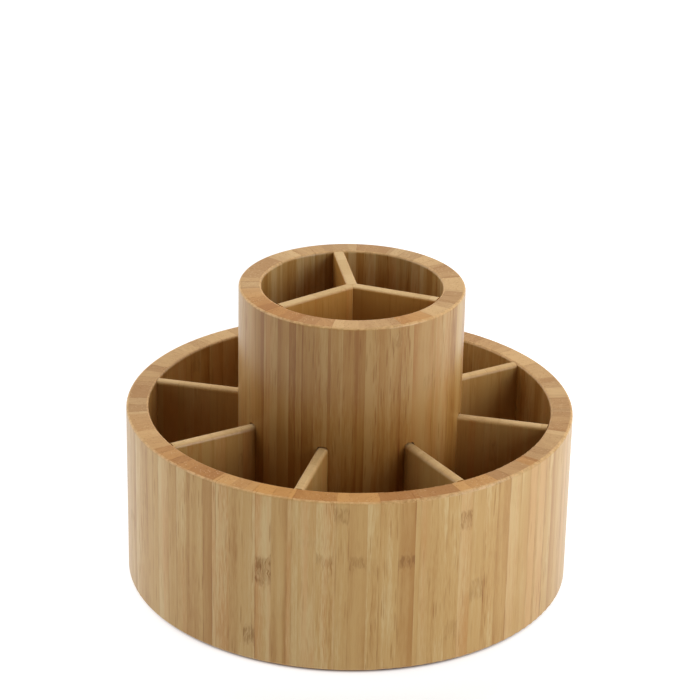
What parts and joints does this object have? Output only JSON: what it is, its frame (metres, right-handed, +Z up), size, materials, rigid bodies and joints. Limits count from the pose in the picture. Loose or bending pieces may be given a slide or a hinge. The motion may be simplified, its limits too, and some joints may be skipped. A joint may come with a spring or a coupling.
{
  "type": "turning bathroom organizer",
  "caption": "Round bamboo organizer with open compartments around a taller divided cup, turning on a flat ball swivel over a base with rubber feet.",
  "frame": {"origin": "on the turning axis, in the plane of the table that the rubber feet stand on", "axes": "+Z up along the turning axis, -Y towards the front, +X to the right"},
  "size_m": [0.22, 0.22, 0.1525],
  "materials": {
    "bamboo_wall": "satin lacquer",
    "bamboo_panel": "satin lacquer",
    "bamboo_board": "satin lacquer",
    "zinc_steel": "zinc plated",
    "ball_steel": "polished",
    "foot_rubber": "matt"
  },
  "bodies": {
    "base": {"base_disc": "bamboo_board", "rubber_feet": "foot_rubber", "swivel_lower_plate": "zinc_steel", "swivel_collar": "zinc_steel", "swivel_lower_screws": "zinc_steel"},
    "carousel": {"drum_wall": "bamboo_wall", "cup_wall": "bamboo_wall", "floor_disc": "bamboo_board", "swivel_upper_plate": "zinc_steel", "swivel_upper_screws": "zinc_steel", "drum_panel_1": "bamboo_panel", "drum_panel_2": "bamboo_panel", "drum_panel_3": "bamboo_panel", "drum_panel_4": "bamboo_panel", "drum_panel_5": "bamboo_panel", "drum_panel_6": "bamboo_panel", "drum_panel_7": "bamboo_panel", "drum_panel_8": "bamboo_panel", "cup_panel_1": "bamboo_panel", "cup_panel_2": "bamboo_panel", "cup_panel_3": "bamboo_panel"},
    "ball_ring": {"swivel_balls": "ball_steel"}
  },
  "joints": [
    {"name": "carousel_turn", "type": "hinge", "parent": "base", "child": "carousel", "pos_m": [0, 0, 0.013], "axis": [0, 0, 1], "continuous": true},
    {"name": "ball_ring_turn", "type": "hinge", "parent": "base", "child": "ball_ring", "pos_m": [0, 0, 0.013], "axis": [0, 0, 1], "continuous": true}
  ],
  "couplings": [
    {"joint": "ball_ring_turn", "follows": "carousel_turn", "ratio": 0.5}
  ]
}
